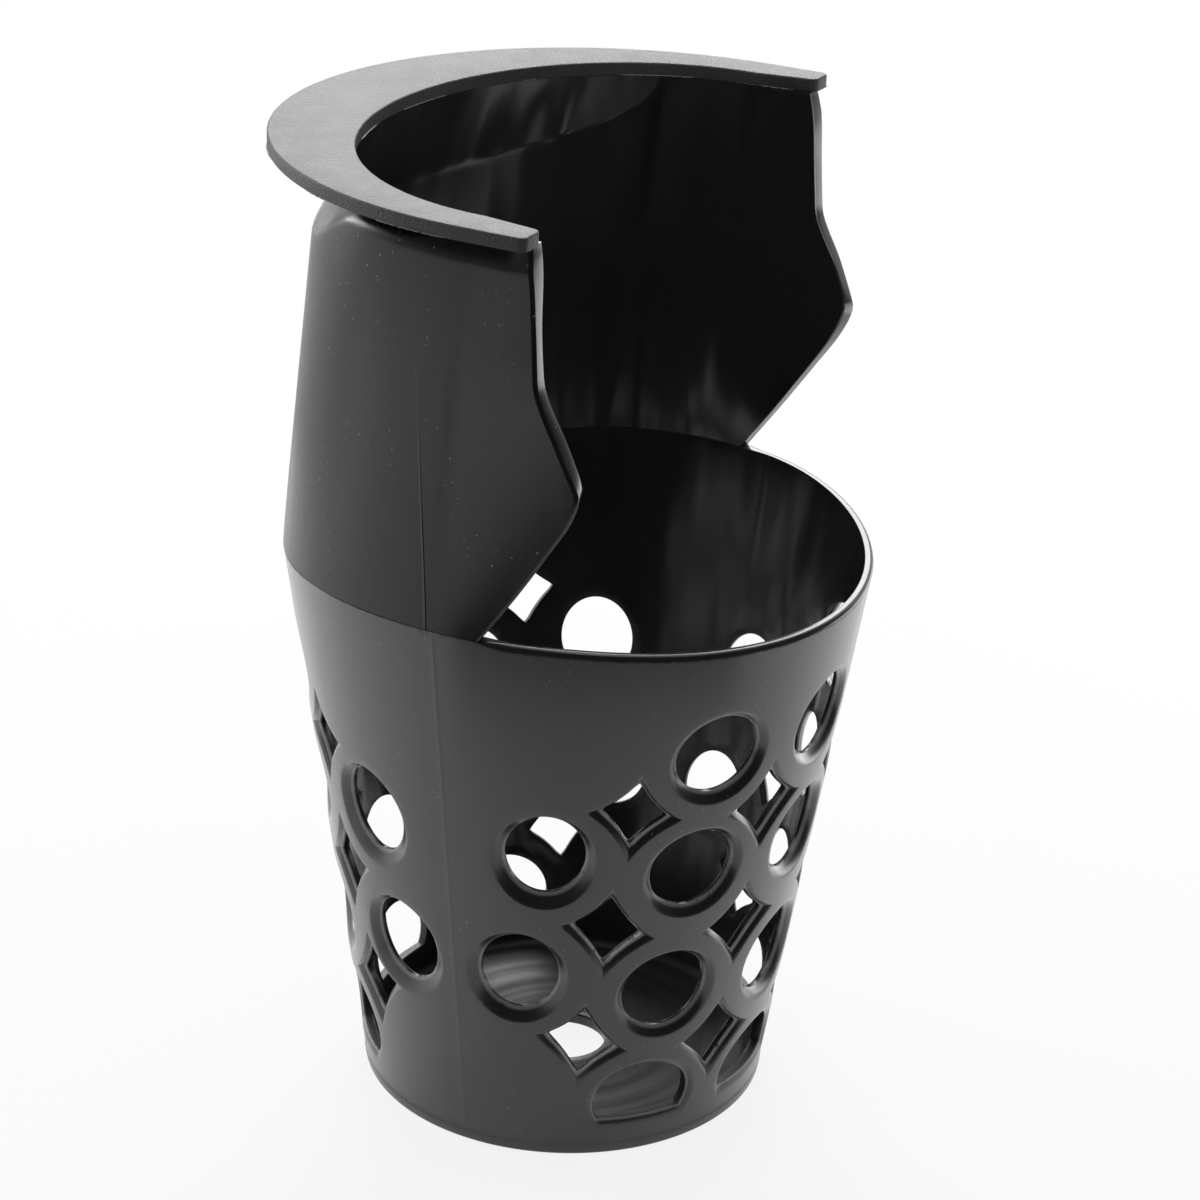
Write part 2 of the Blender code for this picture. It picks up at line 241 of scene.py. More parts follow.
# cup: the cone that the basket is rolled from, and the bowed waist
cup = {
    "baseRadius": 0.03185, "waistRadius": 0.0450, "waistHeight": 0.0903, "wall": 0.0021,
    "waistBow": 0.00175,         # the rim is this much higher at the sides and lower front and back
    "openFrom": 0.13,            # cosine of the turn where the shell ends and the rim is open
    "frontRise": 0.00027, "frontFull": 0.5,      # the open rim is a little higher in front
    "ridge": 0.00004, "ridgeWidth": 0.00028,     # parting line down both sides
    "hollowShare": 0.5, "hollowAt": 0.0016, "hollowWidth": 0.0011,
}
slope = (cup["waistRadius"] - cup["baseRadius"]) / cup["waistHeight"]
lean = math.atan(slope)
apex = -cup["baseRadius"] / slope


def coneRadius(z, depth=0.0):
    # the straight cone at a height, less the depth measured square to the wall
    return cup["baseRadius"] + slope * z - depth / math.cos(lean)


def opened(turn, full):
    # 0 under the shell, growing to 1 at the turn whose cosine is full, and 1 from there to the front
    return smoothStep(np.cos(turn), cup["openFrom"], full)


def rimHeight(turn):
    # the waist less a bow that goes with the cosine of twice the turn, a little higher in front
    bow = cup["waistBow"] * np.cos(2 * turn)
    return cup["waistHeight"] - bow + cup["frontRise"] * opened(turn, cup["frontFull"])


def partingRidge(turn, radius):
    # how far the parting line stands out: a narrow hump at a quarter turn to each side,
    # with a shallow hollow just behind it
    along = (np.abs(np.arctan2(np.sin(turn), np.cos(turn))) - math.pi / 2) * radius
    hump = cup["ridge"] * np.exp(-(along / cup["ridgeWidth"]) ** 2)
    behind = (along - cup["hollowAt"]) / cup["hollowWidth"]
    return hump - cup["hollowShare"] * cup["ridge"] * np.exp(-behind ** 2)


def turned(turn, radius, z):
    # points at a turn round the axis: 0 in front, a quarter turn to the right
    return np.stack(np.broadcast_arrays(np.sin(turn) * radius, -np.cos(turn) * radius, z), -1)


# basket: the wall is laid out flat with its holes and rolled up, then rim and base are turned
basket = {
    # holes: rows from the top, widths from the middle column outwards
    "pitch": 0.0237, "rows": (0.0707, 0.0508, 0.0287, 0.0084),
    "heights": (0.0130, 0.0133, 0.0138, 0.0138), "widths": (0.0150, 0.0142, 0.0124),
    "outerRise": 0.00095, "outerTaller": 0.0005,     # outermost round holes
    "levelCut": 0.0062, "lowWider": 0.0018,          # lowest holes, cut off level at that height
    "backOut": 0.0012, "backUp": 0.0013,             # lowest holes behind are further out and higher
    # stars: half width, half height, out, up, shear, lift
    "starNear": (0.0063, 0.0062, 0.0004, -0.0006, 0.00025, 0.0),
    "starFar": (0.0059, 0.0065, 0.0, 0.00045, 0.0006, 0.0005),
    "starTop": (0.0056, 0.0058, 0.0, 0.00045, 0.0003, 0.0003),
    "starHollow": 0.0005, "tipRound": 0.07, "tipReach": 0.10,
    # lips: width, depth, how much wider below, softness of the start
    "lips": {
        "outer": (0.0018, 0.0013, 0.0006, 0.16), "round": (0.0016, 0.0013, 0.0002, 0.90),
        "cut": (0.0012, 0.0005, 0.0, 0.50), "star": (0.0011, 0.0009, 0.0003, 0.70),
    },
    "lipSteps": (0, 0.07, 0.15, 0.24, 0.36, 0.54, 0.76, 0.90, 1.0),
    "burr": 0.00015, "burrSteps": (1.0, 1.8), "tunnelStep": 0.6,
    "innerFillet": 0.00025, "filletSteps": 4,
    "flash": {"round": 0.5, "cut": 0.5, "star": 1.0},        # how pale the burr is: pale moulding flash and painted highlight along the hole's edge
    # rim: corner radii in front and behind, and the share of the wall lost towards the open rim
    "rimRound": 0.00090, "rimRoundBehind": 0.00006,
    "rimInnerRound": 0.00015, "rimInnerRoundBehind": 0.00005, "rimRoundFull": 0.24,
    "rimThin": 0.30, "rimThinHeights": (0.060, 0.088), "rimThinFull": 0.30,
    "rimLining": 0.8, "rimBendSteps": 10, "rimTopSteps": 5,
    # base: the band's steps are its drop from the top and its share of standing proud
    "bandTop": 0.0023, "bandProud": 0.00014, "footProud": 0.9, "baseRound": 0.0007,
    "bandSteps": ((0.0, 0.0), (0.00015, 0.10), (0.0003, 0.4), (0.00045, 0.75),
                  (0.0006, 0.9), (0.0010, 1.0), (0.0013, 1.0)),
    "floor": 0.0020, "floorRound": 0.0015, "drain": 0.0068, "drainRound": 0.0004,
    "bendSteps": 7, "underSteps": 16, "floorSteps": 18,
    # mesh: spacing of the scatter, how close its rows are and how far it keeps from an outline
    "outerMesh": 0.0011, "innerMesh": 0.0016, "meshRise": 0.866, "meshClear": 0.6,
    "meshTolerance": 1e-6,       # in millimetres
    "outlinePoints": 56, "turnSteps": 160, "sideSteps": 84, "edgeBow": 0.0006,
    "partingRows": (0.00012, 0.00026, 0.00048, 0.0009), "underRim": 0.0003, "sharp": 38,
}


def flatUp(z, depth=0.0):
    # distance from the cone's point, along the wall, of a height at that depth in the wall
    return (z - apex - depth * math.sin(lean)) / math.cos(lean)


def wallShare(turn, height):
    # how much of the full wall is left: it thins towards the open rim
    thinned = smoothStep(height, *basket["rimThinHeights"]) * opened(turn, basket["rimThinFull"])
    return 1 - basket["rimThin"] * thinned


def rollUp(flat, depth, halfTurn):
    # the flat sector rolled into a cone: distance from the flat apex is distance from the cone's
    # point, flat angle over sin(lean) is the turn round the axis, depth goes into the wall
    reach = np.hypot(flat[..., 0], flat[..., 1])
    turn = np.arctan2(flat[..., 0], flat[..., 1]) / math.sin(lean) + halfTurn
    height = apex + reach * math.cos(lean)
    sunk = depth * wallShare(turn, height)
    radius = reach * math.sin(lean) - sunk * math.cos(lean)
    if depth == 0:
        radius = radius + partingRidge(turn, radius)
    return turned(turn, radius, height + sunk * math.sin(lean))


def listHoles(behind):
    # every hole of one half: kind, lip, place in the flat layout, sizes, lean to its own side
    pitch, widths, heights = basket["pitch"], basket["widths"], basket["heights"]
    backOut, backUp = behind * basket["backOut"], behind * basket["backUp"]
    ups = [flatUp(z) for z in basket["rows"]]
    holes = []
    for column in range(-2, 3):
        across, wide = column * pitch, widths[abs(column)]
        outermost = abs(column) == 2
        for row in (1, 2) if outermost else (0, 1, 2):
            up = ups[row] + outermost * basket["outerRise"]
            tall = heights[row] + (outermost and row == 1) * basket["outerTaller"]
            holes.append({"kind": "round", "lip": "outer" if outermost else "round",
                          "at": (across, up), "wide": wide, "tall": tall})
        if not outermost:
            across, up = across + column * backOut, ups[3] + backUp
            spot = math.hypot(across, up) * math.cos(lean) + apex
            holes.append({"kind": "cut", "lip": "cut", "at": (across, up), "tall": heights[3],
                          "wide": wide + basket["lowWider"], "level": basket["levelCut"] - spot})
    for gap in (-1.5, -0.5, 0.5, 1.5):
        side, far = math.copysign(1, gap), abs(gap) > 1
        for row in range(3):
            size = ("starTop" if row == 0 else "starFar") if far else "starNear"
            wide, tall, out, rise, shear, lift = basket[size]
            lowest = far and row == 2
            at = (gap * pitch + side * (out + lowest * backOut),
                  (ups[row] + ups[row + 1]) / 2 + rise + lowest * backUp)
            holes.append({"kind": "star", "lip": "star", "at": at, "wide": wide, "tall": tall,
                          "shear": side * shear, "lift": side * lift})
    return holes


def roundOutline(hole, offset, count):
    # an ellipse
    turn = np.linspace(0, 2 * math.pi, count, endpoint=False)
    x = (hole["wide"] / 2 + offset) * np.cos(turn)
    y = (hole["tall"] / 2 + offset) * np.sin(turn)
    return np.stack([x, y], -1)


def cutOutline(hole, offset, count):
    # an ellipse cut off by a level line, turned to stay level on the cup
    wide, tall = hole["wide"] / 2 + offset, hole["tall"] / 2 + offset
    level = hole["level"] - offset
    low = math.asin(level / tall)
    arcCount = count * 3 // 4
    turn = np.linspace(low, math.pi - low, arcCount)
    arc = np.stack([wide * np.cos(turn), tall * np.sin(turn)], -1)
    run = np.linspace(arc[-1, 0], arc[0, 0], count - arcCount + 2)[1:-1]
    local = np.vstack([arc, np.stack([run, np.full_like(run, level)], -1)])
    swing = math.atan2(*hole["at"])
    side = np.array([math.cos(swing), -math.sin(swing)])
    rise = np.array([math.sin(swing), math.cos(swing)])
    return local[:, :1] * side + local[:, 1:] * rise


def starOutline(hole, offset, count):
    # four arcs that curve inwards, each round a centre far out on its diagonal; the tips are
    # drawn in by a bell curve, and shear and lift lean the whole star
    wide, tall, hollow = hole["wide"], hole["tall"], basket["starHollow"]
    chord = math.hypot(wide, tall)
    radius = (chord ** 2 / 4 + hollow ** 2) / (2 * hollow)
    centreX = wide / 2 + (radius - hollow) * tall / chord
    centreY = tall / 2 + (radius - hollow) * wide / chord
    grown = radius - offset
    tipX = centreX - math.sqrt(grown ** 2 - centreY ** 2)
    tipY = centreY - math.sqrt(grown ** 2 - centreX ** 2)
    start, stop = math.atan2(centreY, centreX - tipX), math.atan2(centreY - tipY, centreX)
    turn = np.linspace(start, stop, count // 4 + 1)
    arc = np.stack([centreX - grown * np.cos(turn), centreY - grown * np.sin(turn)], -1)
    side, quarter = arc[:-1], arc[:0:-1]
    loop = np.vstack([side, quarter * (-1, 1), side * (-1, -1), quarter * (1, -1)])
    fromTip = np.abs((np.arange(len(loop)) / (count // 4) + 0.5) % 1 - 0.5)
    blunt = basket["tipRound"] * max(0.0, 1 - offset / basket["lips"]["star"][0]) ** 2
    loop = loop * (1 - blunt * np.exp(-(fromTip / basket["tipReach"]) ** 2))[:, None]
    x = loop[:, 0] + hole["shear"] * loop[:, 1] / tall
    y = loop[:, 1] + hole["lift"] * loop[:, 0] / wide
    return np.stack([x, y], -1)


outlineKinds = {"round": roundOutline, "cut": cutOutline, "star": starOutline}


def holeOutline(hole, offset, sag=0.0):
    # outline of a hole in the flat layout, grown outwards by offset and moved down by sag
    across, up = hole["at"]
    local = outlineKinds[hole["kind"]](hole, offset, basket["outlinePoints"])
    return local + (across, up - sag)


def inside(points, loop):
    # even-odd test of many points against one closed loop
    x, y = points[:, :1], points[:, 1:]
    x0, y0 = loop[:, 0], loop[:, 1]
    x1, y1 = np.roll(x0, -1), np.roll(y0, -1)
    crosses = (y0 > y) != (y1 > y)
    with np.errstate(divide="ignore", invalid="ignore"):
        reach = x0 + (y - y0) * (x1 - x0) / (y1 - y0)
    return (np.sum(crosses & (x < reach), axis=1) % 2).astype(bool)


def scatterPoints(loops, spacing):
    # staggered rows of points inside the first loop, clear of it and of the holes in it
    edge = loops[0]
    low, high = edge.min(0), edge.max(0)
    rows = np.arange(low[1], high[1], spacing * basket["meshRise"])
    gridY, gridX = np.meshgrid(rows, np.arange(low[0], high[0], spacing), indexing="ij")
    gridX = gridX + (np.arange(len(gridX)) % 2)[:, None] * spacing / 2
    scatter = np.stack([gridX, gridY], -1).reshape(-1, 2)
    scatter = scatter[inside(scatter, edge)]
    for loop in loops:
        near = np.full(len(scatter), False)
        low, high = loop.min(0) - spacing, loop.max(0) + spacing
        close = np.all((scatter > low) & (scatter < high), axis=1)
        apart = scatter[close][:, None] - loop
        gap = np.hypot(apart[..., 0], apart[..., 1])
        near[close] = gap.min(1) < basket["meshClear"] * spacing
        if loop is not edge:
            near[close] |= inside(scatter[close], loop)
        scatter = scatter[~near]
    return scatter


def fillSheet(edge, outlines, spacing, extra):
    # triangles between an edge and the holes in it, over a scatter of points and the extra ones
    loops = [edge, *outlines]
    points = np.vstack([*loops, scatterPoints(loops, spacing), extra])
    links, start = [], 0
    for loop in loops:
        order = start + np.arange(len(loop))
        links += np.stack([order, np.roll(order, -1)], -1).tolist()
        start += len(loop)
    bowed = points.copy()        # the straight sides bow out, so that no three edge points are in line
    bowed[:len(edge)] = bowedEdge(edge)
    millimetres = [Vector(p) for p in (bowed * 1000).tolist()]
    found = delaunay_2d_cdt(millimetres, links, [], 0, basket["meshTolerance"])
    source = np.array([ids[0] for ids in found[3]])
    triangles = source[np.array(found[2])]
    middle = bowed[triangles].mean(1)
    keep = inside(middle, bowed[:len(edge)])
    for loop in outlines:
        keep &= ~inside(middle, loop)
    return points, triangles[keep]


def bowedEdge(edge):
    # the edge loop with its two straight sides pushed out by a shallow arch
    steps = basket["sideSteps"] - 1
    count = (len(edge) - 2 * steps) // 2
    share = np.linspace(0, 1, steps + 2)[1:-1]
    arch = (basket["edgeBow"] * share * (1 - share))[:, None]
    made = edge.copy()
    made[count:count + steps] += arch * (1, 0)
    made[-steps:] -= arch * (1, 0)
    return made


def sheetEdge(turn, bottom, top, depth):
    # closed edge of half the wall in the flat layout: along the bottom, up a side, back along the top
    def at(angle, z):
        reach, swing = flatUp(z, depth), angle * math.sin(lean)
        return np.stack([reach * np.sin(swing), reach * np.cos(swing)], -1)
    rise = np.linspace(0, 1, basket["sideSteps"] + 1)[1:-1]
    foot, head = at(turn, np.full_like(turn, bottom)), at(turn[::-1], top[::-1])
    sideUp = at(turn[-1], bottom + (top[-1] - bottom) * rise)
    sideDown = at(turn[0], bottom + (top[0] - bottom) * rise[::-1])
    return np.vstack([foot, sideUp, head, sideDown])


def topRun(edge, turn):
    # the top of an edge loop, in the order of the turn
    start = len(turn) + basket["sideSteps"] - 1
    return edge[start:start + len(turn)][::-1]


def besideParting(edge, turn):
    # extra points: rows close to the parting line, so that its hump has a shape, and one under the rim
    steps, count = basket["sideSteps"] - 1, len(turn)
    right, left = edge[count:count + steps], edge[-steps:]
    offsets = np.array(basket["partingRows"])[:, None, None]
    swing = turn[-1] * math.sin(lean)
    inwards = np.array([math.cos(swing), -math.sin(swing)])
    beside = np.vstack([right - offsets * inwards, left + offsets * inwards * (1, -1)])
    top = topRun(edge, turn)[3:-3]       # not in the corners
    under = top * (1 - basket["underRim"] / np.linalg.norm(top, axis=1))[:, None]
    return np.vstack([beside.reshape(-1, 2), under])


def rimRounding(turn, corner):
    # radius of the rim's "rimRound" or "rimInnerRound" corner: larger in the open than under the shell
    behind, ahead = basket[corner + "Behind"], basket[corner]
    return behind + (ahead - behind) * opened(turn, basket["rimRoundFull"])


def turnedBase(turns):
    # profile of radius and height, from the wall down the band, under the base, through the drain,
    # over the floor and up into the wall, carried round the axis
    top, proud, foot = basket["bandTop"], basket["bandProud"], basket["baseRound"]
    floor, fillet = basket["floor"], basket["floorRound"]
    drain, ring = basket["drain"], basket["drainRound"]
    quarter = np.linspace(0, math.pi / 2, basket["bendSteps"])
    sine, cosine = np.sin(quarter), np.cos(quarter)
    band = [(coneRadius(top - drop) + proud * share, top - drop) for drop, share in basket["bandSteps"]]
    footRadius = coneRadius(foot) + proud * basket["footProud"] - foot
    band += list(zip(footRadius + foot * cosine, foot - foot * sine))
    outer = drain + ring
    under = [(r, 0.0) for r in np.linspace(footRadius, outer, basket["underSteps"])[1:-1]]
    lip = list(zip(outer - ring * sine, ring - ring * cosine))
    lip += list(zip(outer - ring * cosine, floor - ring + ring * sine))
    cornerZ = floor + fillet
    cornerRadius = coneRadius(cornerZ, cup["wall"]) - fillet
    inner = [(r, floor) for r in np.linspace(outer, cornerRadius, basket["floorSteps"])[1:-1]]
    inner += list(zip(cornerRadius + fillet * sine, cornerZ - fillet * cosine))
    profile = np.array(band + under + lip + inner)
    lining = np.arange(len(profile)) >= len(profile) - len(inner)
    return turned(turns[None, :], profile[:, :1], profile[:, 1:]), np.repeat(lining, len(turns))


def turnedRim(turns):
    # rounded outer corner, flat top, rounded inner corner, carried round at the bowed rim height
    rim = rimHeight(turns)
    outer, inner = rimRounding(turns, "rimRound"), rimRounding(turns, "rimInnerRound")
    quarter = np.linspace(0, math.pi / 2, basket["rimBendSteps"])[:, None]
    top = np.linspace(0, 1, basket["rimTopSteps"])[1:-1, None]
    wall = cup["wall"] * wallShare(turns, rim)
    depth = np.vstack([outer * (1 - np.cos(quarter)), outer + (wall - inner - outer) * top,
                       wall - inner * (1 - np.sin(quarter))])
    drop = np.vstack([outer * (1 - np.sin(quarter)), 0 * top + 0 * rim, inner * (1 - np.cos(quarter))])
    z = rim - drop
    radius = coneRadius(z, depth)
    radius[0] += partingRidge(turns, radius[0])
    return turned(turns, radius, z)


def chamfer(share, soft):
    # depth down a lip from 0 to 1: straight after a soft start, or all bend where soft is large
    return (math.hypot(share, soft) - soft) / (math.hypot(1, soft) - soft)


def addHole(work, hole, halfTurn):
    # rings of the outline, each with its growth, depth and sag: down the lip to a sharp edge with a
    # burr, through the tunnel and out over a small inner lip
    wide, deep, sag, soft = basket["lips"][hole["lip"]]
    wall, fillet, burr = cup["wall"], basket["innerFillet"], basket["burr"]
    rings = [(wide * (1 - t), deep * chamfer(t, soft), sag * (1 - t)) for t in basket["lipSteps"]]
    edgeRing = len(rings) - 1
    rings += [(0.0, deep + step * burr, 0.0) for step in basket["burrSteps"]]
    rings.append((0.0, deep + basket["tunnelStep"] * (wall - fillet - deep), 0.0))
    rings += [(fillet * (1 - math.cos(b)), wall - fillet * (1 - math.sin(b)), 0.0)
              for b in np.linspace(0, math.pi / 2, basket["filletSteps"])]
    strip = np.stack([rollUp(holeOutline(hole, offset, down), depth, halfTurn)
                      for offset, depth, down in rings])
    row, points = np.arange(len(rings)), strip.shape[1]
    # the sharp edge and its burr are painted pale: moulding flash and a painted highlight along the hole's
    # edge
    flash = (np.abs(row - edgeRing) < 2) * basket["flash"][hole["kind"]]
    work.addGrid(strip, wrap=True, lining=np.repeat(row > edgeRing, points),
                 flash=np.repeat(flash, points))


def makeBasket(material):
    # both halves of the wall, outside and inside, with their holes, then the base and the rim
    work = Patchwork()
    steps, wall, bandTop = basket["turnSteps"], cup["wall"], basket["bandTop"]
    turn = np.linspace(-math.pi / 2, math.pi / 2, steps + 1)
    rimInside = []
    for halfTurn in (0, math.pi):
        holes = listHoles(halfTurn > 0)
        lips = [basket["lips"][hole["lip"]] for hole in holes]
        rim = rimHeight(turn + halfTurn)
        edge = sheetEdge(turn, bandTop, rim - rimRounding(turn + halfTurn, "rimRound"), 0.0)
        loops = [holeOutline(hole, wide, sag) for hole, (wide, _, sag, _) in zip(holes, lips)]
        points, faces = fillSheet(edge, loops, basket["outerMesh"], besideParting(edge, turn))
        work.add(rollUp(points, 0.0, halfTurn), faces)
        innerTop = rim - rimRounding(turn + halfTurn, "rimInnerRound")
        edge = sheetEdge(turn, basket["floor"] + basket["floorRound"], innerTop, wall)
        rimInside.append(rollUp(topRun(edge, turn), wall, halfTurn)[:-1])
        loops = [holeOutline(hole, basket["innerFillet"]) for hole in holes]
        points, faces = fillSheet(edge, loops, basket["innerMesh"], np.zeros((0, 2)))
        work.add(rollUp(points, wall, halfTurn), faces, lining=1.0)
        for hole in holes:
            addHole(work, hole, halfTurn)
    turns = -math.pi / 2 + np.arange(2 * steps) * math.pi / steps
    base, lining = turnedBase(turns)
    start = coneRadius(bandTop)
    base[0] = turned(turns, start + partingRidge(turns, start), bandTop)
    work.addGrid(base, wrap=True, lining=lining)
    edge = turnedRim(turns)
    edge[-1] = np.vstack(rimInside)
    rimLining = np.where(np.arange(len(edge)) < len(edge) - 1, basket["rimLining"], 1.0)
    work.addGrid(edge, wrap=True, lining=np.repeat(rimLining, len(turns)))
    work.piece("basketShell", material, "root", "basket", basket["sharp"])


# saddle shell: U-shaped outlines from the round waist up to the mouth, with a wing on each side
saddle = {
    "top": 0.1517, "halfWidth": 0.0466, "back": 0.0379, "wall": 0.0021,
    "mouthCentre": -0.0063, "mouthHalfWidth": 0.0430, "mouthBack": 0.0321, "mouthFlare": 0.164,
    # how much the wings spread, by the share of the way up
    "flareShares": (0.0, 0.3, 0.5, 0.6, 0.7, 0.8, 1.0),
    "flare": (0.0, 0.10, 0.13, 0.135, 0.115, 0.088, 0.080),
    "innerFlare": (0.0, 0.10, 0.13, 0.14, 0.145, 0.14, 0.045),
    # front edge of the wings: place along y at each height, and how far the inside stands back
    "edgeHeights": (0.0890, 0.0920, 0.1000, 0.1075, 0.1135, 0.1160, 0.1172,
                    0.1182, 0.1192, 0.1210, 0.1250, 0.1300, 0.1313, 0.1322,
                    0.1332, 0.1345, 0.1400, 0.1480, 0.1500, 0.1510, 0.1540),
    "edgePlaces": (-0.0052, -0.0073, -0.0130, -0.0180, -0.0218, -0.0229, -0.0232,
                   -0.0232, -0.0228, -0.0220, -0.0202, -0.01768, -0.01714, -0.01689,
                   -0.01674, -0.01664, -0.01624, -0.01564, -0.01534, -0.01514, -0.01474),
    "slantHeights": (0.0890, 0.1100, 0.1150, 0.1172, 0.1183,
                     0.1195, 0.1220, 0.1300, 0.1380, 0.1500),
    "slants": (0.0005, 0.0006, 0.0008, 0.0008, 0.0006,
               0.0003, 0.0001, 0.0002, 0.0003, 0.0001),
    "edgeRound": 0.00054, "innerEdgeRound": 0.00012, "cornerPoints": 6,
    "seat": 0.00006, "footRound": 0.00006, "seatFade": 0.012,
    # ledge under the flange, placed along y
    "ledgeIn": 0.0014, "ledgeDrop": (0.0009, 0.0025), "ledgeSoft": (-0.0002, 0.0004),
    "ledgeReach": (-0.0040, 0.0080), "ledgeEnds": (-0.0090, 0.0125), "ledgeRuns": (0.003, 0.0025),
    # shoulder: drop, slope, softness
    "shoulderBack": (0.0118, 0.43, 0.0004), "shoulderSide": (0.0034, 0.66, 0.0002),
    "shoulderTurn": (0.50, 0.85), "shoulderLimit": 0.0034,
    "shoulderFade": 0.60, "shoulderFadeWing": (0.5, 0.95),
    "facetDrop": 0.0140, "facetSlope": 0.27, "facetReach": 68.0, "facetPower": 2.5, "facetSoft": 0.0005,
    # levels: heights above the waist, then where each closer spacing starts and its step
    "footLevels": (0, 0.00005, 0.00015, 0.0005, 0.0010), "wallLevels": (0.0018, 0.0009),
    "shoulderLevels": (0.016, 0.0005), "headLevels": (0.0035, 0.00016), "headGap": 0.0001,
    "arcSteps": 150, "wingSteps": 26, "sharp": 35,
}


def planShares():
    # place of each point of a plan, from the right wing's end round the back to the left wing's end:
    # share of the wing's length (0 all round the back) and angle round the back (0 right, pi left)
    arcSteps, wingSteps = saddle["arcSteps"], saddle["wingSteps"]
    wing = np.linspace(0, 1, wingSteps + 1)[1:]
    wing = wing * (2 - wing)                 # closer together near the wing's end
    share = np.concatenate([wing[::-1], np.zeros(arcSteps + 1), wing])
    rear = np.linspace(0, math.pi, arcSteps + 1)
    arc = np.concatenate([np.zeros(wingSteps), rear, np.full(wingSteps, math.pi)])
    return share, arc


def planPoints(halfWidth, back, centre, flare, bend, end):
    # a half ellipse behind and a wing on each side that flares and, low down, bends with the round
    # waist; every argument is one number for each point of the plan
    share, arc = planShares()
    run = (centre - end) * share
    width = halfWidth + flare * run - bend * run ** 2
    x = width * np.where(share > 0, np.sign(np.cos(arc)), np.cos(arc))
    y = np.where(share > 0, centre - run, centre + (back - centre) * np.sin(arc))
    return np.stack([x, y], -1)


def outwards(plan):
    # unit normals of a plan, pointing away from the inside
    along = np.gradient(plan, axis=0)
    normal = np.stack([along[:, 1], -along[:, 0]], -1)
    return normal / np.linalg.norm(normal, axis=1)[:, None]


def risen(height, softness):
    # 0 below zero and the height itself above it, with a soft bend between
    return 0.5 * (height + np.sqrt(height ** 2 + softness ** 2))


def upShell(z):
    # share of the way from the waist to the shell's top
    return (z - cup["waistHeight"]) / (saddle["top"] - cup["waistHeight"])


def waistBend(share):
    # the wings follow the round waist below and straighten on the way up
    return np.clip(1 - share, 0, 1) ** 2 / (2 * cup["waistRadius"])


def wingEdge(z):
    # where the wings end along y at a height
    return curveThrough(saddle["edgeHeights"], saddle["edgePlaces"], z)


def ledge(plan, z):
    # how far the step under the flange goes in: it drops from the front end to the rear end
    near, far = saddle["ledgeDrop"]
    y = plan[:, 1]
    step = z - saddle["top"] + near + (far - near) * smoothStep(y, *saddle["ledgeReach"])
    (front, rear), (runIn, runOut) = saddle["ledgeEnds"], saddle["ledgeRuns"]
    along = smoothStep(y, front, front + runIn) * (1 - smoothStep(y, rear, rear + runOut))
    return saddle["ledgeIn"] * smoothStep(step, *saddle["ledgeSoft"]) * along


def outerPlan(z):
    # outside of the wall, drawn in towards the neck by the shoulder
    share = upShell(z)
    halfWidth = cup["waistRadius"] + (saddle["halfWidth"] - cup["waistRadius"]) * share
    back = cup["waistRadius"] + (saddle["back"] - cup["waistRadius"]) * share
    flare = curveThrough(saddle["flareShares"], saddle["flare"], share)
    end = wingEdge(z) + saddle["edgeRound"]
    plan = planPoints(halfWidth, back, saddle["mouthCentre"] * share, flare, waistBend(share), end)
    wing, arc = planShares()
    behind = smoothStep(np.sin(arc), *saddle["shoulderTurn"])
    drop, slopeIn, soft = (side + (rear - side) * behind
                           for side, rear in zip(saddle["shoulderSide"], saddle["shoulderBack"]))
    drawn = slopeIn * risen(z - saddle["top"] + drop, soft)
    drawn = drawn / (1 + (drawn / saddle["shoulderLimit"]) ** 4) ** 0.25     # levels off at the limit
    drawn = drawn * (1 - saddle["shoulderFade"] * smoothStep(wing, *saddle["shoulderFadeWing"]))
    drawn = drawn + ledge(plan, z)
    return plan - outwards(plan) * drawn[:, None]


def innerPlan(z):
    # inside of the wall: straight from the waist to the mouth, hollowed at the back and then
    # closed to the mouth's edge by a facet that is tall behind and runs out at both sides
    share = upShell(z)
    foot = cup["waistRadius"] - saddle["wall"]
    halfWidth = foot + (saddle["mouthHalfWidth"] - foot) * share
    back = foot + (saddle["mouthBack"] - foot) * share
    flare = curveThrough(saddle["flareShares"], saddle["innerFlare"], share)
    end = wingEdge(z) + saddle["innerEdgeRound"]
    end = end + curveThrough(saddle["slantHeights"], saddle["slants"], z)
    plan = planPoints(halfWidth, back, saddle["mouthCentre"] * share, flare, waistBend(share), end)
    _, arc = planShares()
    aside = np.clip(np.abs(np.degrees(arc) - 90) / saddle["facetReach"], 0, 1)
    tall = np.sqrt(1 - aside ** saddle["facetPower"])
    drop = saddle["facetDrop"] * tall
    closed = risen(z - saddle["top"] + drop, saddle["facetSoft"]) * (tall > 0)
    shift = saddle["facetSlope"] * (drop * share - closed)
    return plan + outwards(plan) * shift[:, None]


def shellLevels():
    # heights of the loops, closer together at the waist, at the shoulder and under the flange
    top, waist = saddle["top"], cup["waistHeight"]
    (wall, wallStep), (shoulder, shoulderStep) = saddle["wallLevels"], saddle["shoulderLevels"]
    head, headStep = saddle["headLevels"]
    return np.concatenate([
        waist + np.array(saddle["footLevels"]), np.arange(waist + wall, top - shoulder, wallStep),
        np.arange(top - shoulder, top - head, shoulderStep),
        np.arange(top - head, top - saddle["headGap"], headStep), [top]])


